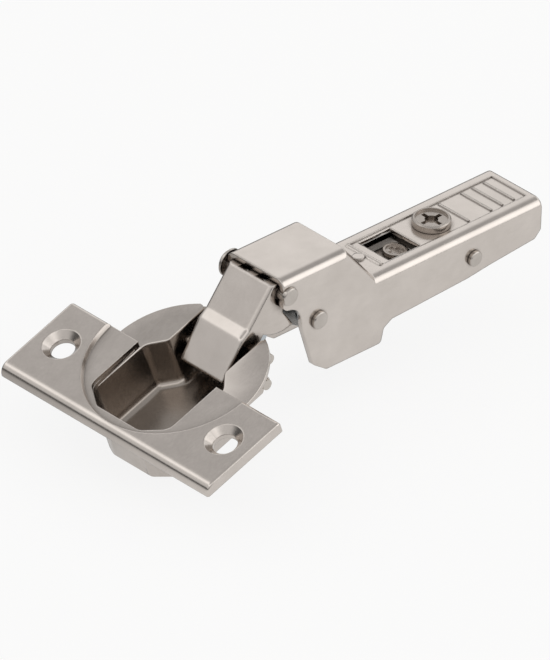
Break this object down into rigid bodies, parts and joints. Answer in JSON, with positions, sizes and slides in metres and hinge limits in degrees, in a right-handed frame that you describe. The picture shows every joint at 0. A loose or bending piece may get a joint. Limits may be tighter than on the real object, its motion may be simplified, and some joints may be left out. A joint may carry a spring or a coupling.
{
  "type": "concealed cup hinge",
  "caption": "Concealed cabinet hinge: a round cup with a flange plate, a linkage and a cranked channel arm that clips over a mounting plate, shown fully open.",
  "frame": {"origin": "under the depth screw, mid-width, on the plane of the arm's lower edges, where the arm clips over a mounting plate", "axes": "+X is the hinge axis, +Y runs along the arm from the cup to its rear end, +Z points away from the cabinet side that carries the mounting plate"},
  "size_m": [0.0576, 0.1087, 0.0322],
  "materials": {
    "cup_casting": "nickel-plated, satin",
    "plated_sheet": "nickel-plated, satin",
    "inner_sheet": "zinc-plated, satin",
    "pin_steel": "nickel-plated, bright",
    "screw_steel": "nickel-plated, dark"
  },
  "bodies": {
    "cup": {"hinge_cup": "cup_casting", "flange_plate": "plated_sheet", "cup_pin_front": "pin_steel", "cup_pin_rear": "pin_steel"},
    "outer_link": {"outer_link": "plated_sheet"},
    "inner_link": {"inner_link": "inner_sheet"},
    "arm": {"hinge_arm": "plated_sheet", "outer_link_pin": "pin_steel", "inner_link_pin": "pin_steel", "closing_spring": "pin_steel"},
    "tilt_pin": {"tilt_pin": "pin_steel"},
    "carrier": {"clip_carrier": "inner_sheet", "lever_pin": "pin_steel"},
    "depth_screw": {"depth_screw": "screw_steel"},
    "side_screw": {"side_screw": "screw_steel"},
    "release_lever": {"release_lever": "inner_sheet"}
  },
  "joints": [
    {"name": "cup_swing", "type": "hinge", "parent": "outer_link", "child": "cup", "pos_m": [0, -0.05682, 0.00824], "axis": [1, 0, 0], "range_deg": [-143.44, 0]},
    {"name": "outer_link_turn", "type": "hinge", "parent": "arm", "child": "outer_link", "pos_m": [0, -0.046, 0.021], "axis": [1, 0, 0], "range_deg": [0, 33.5]},
    {"name": "inner_link_turn", "type": "hinge", "parent": "arm", "child": "inner_link", "pos_m": [0, -0.0377, 0.0124], "axis": [1, 0, 0], "range_deg": [0, 49.85]},
    {"name": "depth_slide", "type": "slide", "parent": "carrier", "child": "tilt_pin", "axis": [0, 1, 0], "range_m": [-0.002, 0.003]},
    {"name": "side_tilt", "type": "hinge", "parent": "tilt_pin", "child": "arm", "pos_m": [0, 0.004, 0.0094], "axis": [1, 0, 0], "range_deg": [-2, 2]},
    {"name": "depth_screw_turn", "type": "hinge", "parent": "arm", "child": "depth_screw", "pos_m": [0, 0, 0.015], "axis": [0, 0, 1], "range_deg": [-481, 721]},
    {"name": "side_screw_turn", "type": "hinge", "parent": "carrier", "child": "side_screw", "pos_m": [0, -0.0096, 0.012], "axis": [0, 0, 1], "range_deg": [-249, 249]},
    {"name": "lever_press", "type": "hinge", "parent": "carrier", "child": "release_lever", "pos_m": [0, 0.014, 0.0096], "axis": [1, 0, 0], "range_deg": [0, 14], "stiffness_Nm_per_rad": 0.2, "springref_deg": -11.46}
  ],
  "couplings": [
    {"joint": "outer_link_turn", "follows": "cup_swing", "ratio": -0.23313},
    {"joint": "inner_link_turn", "follows": "cup_swing", "ratio": -0.34684},
    {"joint": "depth_screw_turn", "follows": "depth_slide", "rad_per_m": 4188.8},
    {"joint": "side_screw_turn", "follows": "side_tilt", "ratio": 124}
  ]
}
